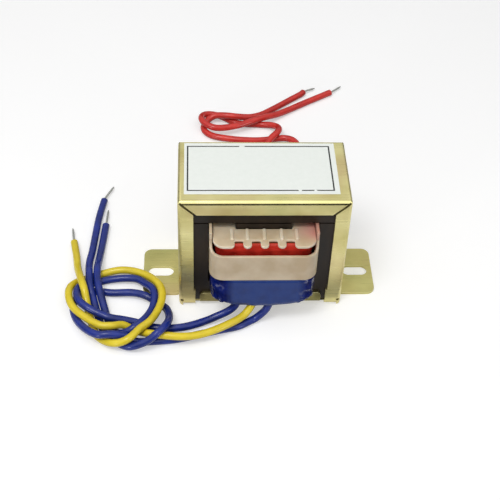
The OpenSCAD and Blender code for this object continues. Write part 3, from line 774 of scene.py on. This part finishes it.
# Routes in millimetres, from the exit to the end of the insulation, and the tip of the bare strands
LEADS = {
    "yellow_lead": (front_exit(-0.5) + [
        (-3.9, -23.6, 7), (-5.1, -24.6, 5.6), (-6.8, -26.1, 4.7), (-9.9, -28.3, 4.4), (-17, -32, 4),
        (-23.5, -34, 3.6), (-30.2, -35, 4.3), (-39, -33.4, 4), (-43, -30.6, 1.7), (-46.3, -29, 1.7),
        (-49.4, -28.7, 3.4), (-53, -30.4, 4.9), (-57.1, -30.1, 4.9), (-61.9, -26.8, 4.8),
        (-67.1, -21.5, 4.7), (-69.2, -15.9, 4.6), (-69.1, -10.7, 3.8), (-66.5, -6.5, 2.3), (-62, -3.6, 1.4),
        (-57.2, -1.6, 1.5), (-51.5, -0.8, 2.3), (-45.8, -2.1, 2.9), (-40.5, -5.5, 3.7), (-36.8, -11.1, 5.3),
        (-35.5, -17.3, 6.1), (-36.7, -23.2, 5.8), (-39.3, -28.6, 5.7), (-43, -32.4, 5.7),
        (-46.4, -36.5, 5.5), (-50.2, -37.5, 4.1), (-54.4, -35.8, 2.5), (-58.3, -31.9, 1.5),
        (-60.7, -25.7, 1.7), (-62.5, -18.8, 3.2), (-63.8, -13.6, 6.3), (-65.4, -8.4, 6.3),
        (-67.1, -1.1, 3.9), (-68.3, 6.8, 2.2), (-69.9, 15.1, 1.4)], (-71.1, 23, 1), 0.239),
    "blue_lead_a": (front_exit(-1.5) + [
        (-9.7, -23, 6.5), (-12, -23.2, 4.1), (-15.7, -24.1, 2.6), (-20.1, -25.6, 1.6), (-26.4, -28, 1.6),
        (-32.8, -28.8, 1.4), (-38.7, -28.2, 1.4), (-44, -26.3, 1.6), (-49, -25.7, 2.6), (-54, -26, 4.3),
        (-58.7, -24.1, 4.9), (-62.8, -21.8, 5.8), (-65.3, -18.7, 5.6), (-66.4, -14.6, 4.9),
        (-65.9, -10.6, 3.8), (-63.8, -8.1, 2.2), (-60.3, -6.4, 1.4), (-55.1, -5, 1.6), (-49.8, -4.8, 2.1),
        (-45.2, -5.8, 2.7), (-41.9, -8.7, 3.3), (-39.3, -12.3, 4.5), (-38.4, -16.4, 4.7), (-39, -21.6, 4.2),
        (-41.3, -26.5, 4.4), (-44.1, -29.8, 4.6), (-46.6, -31.4, 3.6), (-49.2, -31.5, 2.1),
        (-51.7, -30.4, 1.4), (-53.7, -27.9, 1.4), (-54.9, -24.4, 1.4), (-56, -20.7, 1.8),
        (-57.8, -14.9, 3.6), (-58.8, -11.1, 4.4), (-59.6, -6.7, 4.3), (-59.8, -2, 4.3), (-59.7, 3.1, 2.9),
        (-59.3, 9.9, 1.8), (-58.8, 17.1, 1.4), (-58.3, 24.4, 1.4)], (-57.9, 33.5, 1), 0.208),
    "blue_lead_b": (front_exit(0.5) + [
        (1.9, -23.6, 6.2), (0.3, -23.7, 3.5), (-2.9, -24.9, 1.4), (-8.4, -28, 1.4), (-15.7, -29.9, 1.4),
        (-23.1, -31.9, 1.4), (-31.2, -34, 1.4), (-43.2, -35, 1.4), (-48.3, -34.4, 4), (-52.9, -35, 5.7),
        (-57.9, -34.6, 5.2), (-62.6, -30.3, 3.6), (-66.2, -24.3, 2), (-67.7, -18.2, 1.4),
        (-66.8, -14.1, 1.4), (-64.1, -11.5, 1.4), (-60.2, -10.7, 1.4), (-54.4, -11.5, 1.4),
        (-46.3, -12.3, 2.3), (-41.2, -14.3, 2.5), (-37.4, -16.6, 1.4), (-34, -20.2, 2.2),
        (-32.9, -26.2, 4.2), (-34, -32, 6.9), (-36.6, -35.5, 7.1), (-40.6, -37.4, 4.6), (-46.3, -37.7, 2.2),
        (-50.7, -35.3, 1.4), (-55.8, -30.2, 1.4), (-58.5, -22.7, 1.4), (-60.6, -15.4, 2.8),
        (-62, -10.8, 4.5), (-62.6, -5.2, 4.7), (-63.1, 1.9, 3.2), (-62.6, 10.2, 1.7), (-62, 19.6, 1.4),
        (-61.2, 29.2, 1.4), (-59.8, 38.8, 1.4)], (-56.5, 47.3, 1), 0.259),
    "red_lead_a": (back_exit(0.5) + [
        (2.9, 28.6, 34.1), (3, 31.2, 31.7), (3, 33.4, 27.6), (3.2, 36.3, 20), (3.8, 39.6, 12.6),
        (5, 43.8, 6.6), (7, 48.6, 3), (13.4, 57.3, 1.4), (17.6, 62.9, 1.4), (19.8, 67.7, 1.4),
        (19.9, 72.2, 2), (18.3, 75.8, 2), (15.2, 77.8, 1.7), (10.9, 77.8, 1.4), (4.2, 76.7, 1.4),
        (-3.4, 76.9, 1.4), (-10.3, 78, 1.4), (-15.8, 79.6, 1.4), (-18.9, 82.2, 1.4), (-19.9, 85.2, 1.4),
        (-19.2, 88, 1.5), (-17.5, 90.2, 2.2), (-14.6, 91.2, 3.3), (-10.1, 90.2, 4.2), (-4.7, 89.5, 4.1),
        (0.3, 90.4, 3.2), (5.1, 93.2, 2.3), (10.5, 97.9, 1.7), (16.3, 103.1, 1.4), (21.5, 107.4, 1.4),
        (23.8, 109.3, 1.4), (25.1, 110.9, 1.4)], (30.5, 114.4, 1), 0.183),
    "red_lead_b": (back_exit(-0.5) + [
        (-2.9, 28.6, 34.1), (-2.9, 31.2, 31.7), (-2.9, 33.4, 27.6), (-2.8, 36.2, 20), (-2.5, 39.5, 12.6),
        (-2, 43.6, 6.6), (-1.2, 48.4, 3), (1.5, 58, 1.4), (4.2, 64.4, 1.4), (6.1, 70.5, 2.9),
        (8.4, 74.8, 3.9), (11.3, 78.2, 4.4), (12.3, 81.1, 4), (11.6, 84, 3), (9.2, 86.2, 2.1),
        (5.2, 87.4, 1.4), (-1.2, 87.8, 1.4), (-6.5, 88.9, 1.4), (-11.7, 92.8, 1.4), (-15.1, 93.8, 1.8),
        (-17.7, 93.5, 2.3), (-19.6, 92.2, 3), (-20.7, 90.1, 3.6), (-20.7, 87.4, 4.2), (-19.2, 84.4, 4.4),
        (-15.6, 82.2, 4), (-10.8, 82.3, 3.8), (-4.4, 84.1, 3.9), (1.9, 86.7, 4.4), (6.3, 89.2, 4),
        (11.9, 93.2, 2.5), (17.7, 97.7, 1.6), (23.7, 102, 1.4), (30.4, 106.4, 1.4),
        (37.2, 110.8, 1.4)], (42.5, 115.8, 1), 0.200),
}


def smooth_line(route, thickness, parts):
    """A smooth curve through a route's points, lying on the floor and not in it."""
    given = np.array(route, float)
    ends = np.vstack([2 * given[0] - given[1], given, 2 * given[-1] - given[-2]])
    line = []
    for a, b, c, d in zip(ends, ends[1:], ends[2:], ends[3:]):
        for t in np.arange(parts) / parts:
            line.append((2 * b + (c - a) * t + (2 * a - 5 * b + 4 * c - d) * t ** 2
                         + (3 * b - a - 3 * c + d) * t ** 3) / 2)
    line = np.array(line + [given[-1]])
    line[:, 2] = np.maximum(line[:, 2], thickness / 2)
    return line


def twisted_strands():
    """Geometry nodes that lay twisted strands along a line, round a filling of solder."""
    tree, keys, given = open_group("twisted strands", {
        "Line": "Geometry", "Strands": "Int", "Strand radius": "Float", "Lay radius": "Float", "Twist": "Float",
        "Finish": "Material"}, "Bare end")
    line = node(tree, "GeometryNodeMeshToCurve", {0: given["Line"]})
    fine = node(tree, "GeometryNodeResampleCurve", {"Curve": line.outputs[0], "Count": 28}, mode="COUNT")
    along = node(tree, "GeometryNodeSplineParameter").outputs
    # The dip leaves a blunt point: the strands close in over the last fifth
    taper = ramp(tree, along["Factor"], 0.82, 1.0, 1.0, 0.45)
    copies = node(tree, "GeometryNodeDuplicateElements",
                  {"Geometry": fine.outputs[0], "Amount": given["Strands"]}, domain="SPLINE")
    share = calc(tree, "DIVIDE", copies.outputs["Duplicate Index"], given["Strands"])
    twist = calc(tree, "DIVIDE", along["Length"], given["Twist"])
    angle = calc(tree, "MULTIPLY", calc(tree, "ADD", share, twist), math.tau)
    side = node(tree, "GeometryNodeInputNormal").outputs["Normal"]
    ahead = node(tree, "GeometryNodeInputTangent").outputs[0]
    up = node(tree, "ShaderNodeVectorMath", {0: ahead, 1: side}, operation="CROSS_PRODUCT").outputs[0]
    swing = [scaled(tree, side, calc(tree, "COSINE", angle)), scaled(tree, up, calc(tree, "SINE", angle))]
    out = node(tree, "ShaderNodeVectorMath", dict(enumerate(swing)), operation="ADD").outputs[0]
    shift = scaled(tree, out, calc(tree, "MULTIPLY", given["Lay radius"], taper))
    laid = node(tree, "GeometryNodeSetPosition", {"Geometry": copies.outputs["Geometry"], "Offset": shift})
    joined = node(tree, "GeometryNodeJoinGeometry")
    for path, radius, sides in ((laid, given["Strand radius"], 8), (fine, given["Lay radius"], 12)):
        profile = node(tree, "GeometryNodeCurvePrimitiveCircle", {"Resolution": sides, "Radius": radius},
                       mode="RADIUS")
        tube = node(tree, "GeometryNodeCurveToMesh",
                    {"Curve": path.outputs[0], "Profile Curve": profile.outputs[0], "Scale": taper,
                     "Fill Caps": True})
        tree.links.new(tube.outputs[0], joined.inputs[0])
    close_group(tree, joined.outputs[0], given["Finish"])
    return tree, keys


def bare_end(name, route, tip, tree, keys, finish):
    """The tinned strands past the end of the insulation, which start inside it."""
    inside, straight = 0.4, 1.0
    end = Vector(route[-1])
    ahead = (end - Vector(route[-2])).normalized()
    line = smooth_line([end - inside * ahead, end + straight * ahead, Vector(tip)], WIRE_D, 8)
    piece = mesh_piece(name, line, [], finish, [(i, i + 1) for i in range(len(line) - 1)])
    values = {"Strands": 6, "Strand radius": 0.15 * MM, "Lay radius": 0.3 * MM, "Twist": 7 * MM,
              "Finish": finish}
    return smooth(grow(piece, tree, keys, values), 60)


def lead(name, route, tip, length, finish, strands, tin):
    """One insulated lead, lying loose from its exit to its bare end."""
    line = smooth_line(route, LEAD_D, 8) * MM
    curve = bpy.data.curves.new(name + "_wire", "CURVE")
    curve.dimensions = "3D"
    curve.bevel_depth, curve.bevel_resolution, curve.use_fill_caps = LEAD_D / 2 * MM, 6, True
    spline = curve.splines.new("POLY")
    spline.points.add(len(line) - 1)
    spline.points.foreach_set("co", np.column_stack([line, np.ones(len(line))]).ravel())
    spline.use_smooth = True
    curve.materials.append(finish)
    wire = put(name + "_wire", curve)
    dress(wire, name.split("_")[0] + "_pvc", name)
    end = bare_end(name.replace("lead", "strands"), route, tip, *strands, tin)
    dress(end, "tinned_wire", name.replace("lead", "end"))


# The scene

set_camera()
set_world()
set_floor()
set_dark_room()
set_lamp("overhead softbox", (-100, -500, 700), (-100, -500, 0), (1800, 1800), 8.6)
set_lamp("key lamp", (-260, -300, 860), (0, 0, 20), (300, 300), 2.9)
for side in (-1, 1):
    set_lamp("side lamp", (side * 620, -720, 110), (0, 0, 20), (140, 180), 1.4)

lip_y = max(vertex.co.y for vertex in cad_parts["bracket_frame"].data.vertices) / MM
roof_bend = (lip_y - BEND_R, ROOF_Z - BEND_R)
zinc = yellow_zinc("yellow passivated zinc", "#E0D89C", "#CABF7E", 0.32, bend=roof_bend)
# The base plate's upturned lips get a painted shade
base_zinc = yellow_zinc("yellow zinc on the base", "#C8BF7C", "#AEA464", 0.32, painted_lip_shade=True)
sheared = yellow_zinc("yellow zinc on a sheared edge", "#E2DCAA", "#CEC68C", 0.3)
nylon = natural_nylon("natural nylon", "#C0AB8C", "#D1C0A6")
# Paler nylon for thin edges and ribs: painted light shining through
nylon_painted_glow = natural_nylon("natural nylon with a painted glow at thin edges", "#D2C2A8", "#E2D5C1")
varnish = core_varnish()
tin = dipped_tin()
hidden = {"winding": enamelled_copper(), "splices": glass_sleeving()}

sheet_edge, nylon_edge = 0.14, 0.28
dress(eased("bracket_sheet", "bracket_frame", [zinc, sheared], sheet_edge), "plated_steel", "bracket_frame")
dress(eased("base_sheet", "base_plate", [base_zinc, sheared], sheet_edge), "plated_steel", "base_plate")
upper_former(nylon, nylon_painted_glow)
dress(eased("lower_former", "secondary_bobbin", [nylon], nylon_edge, 3), "nylon", "secondary_bobbin")
laminations(varnish)
red_wrap(film_tape("red polyester tape", "#DA3C2E", "#BE2E23", 0.4))
# The blue tape's front panel is painted paler, a painted sheen
blue_wrap(film_tape("blue polyester tape", "#091D70", "#030C44", 0.22, PANEL + ("#213C7E",)))
label(label_paper())
for coil in ("primary", "secondary"):
    for inner, finish in hidden.items():
        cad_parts[coil + "_" + inner].data.materials[0] = finish

pvc = {"red": extruded_pvc("red PVC", "#DA3B33", "#BA2B26"),
       "blue": extruded_pvc("blue PVC", "#213594", "#142568"),
       "yellow": extruded_pvc("yellow PVC", "#E8D236", "#D6BE2A")}
strands = twisted_strands()
for name, (route, tip, length) in LEADS.items():
    lead(name, route, tip, length, pvc[name.split("_")[0]], strands, tin)
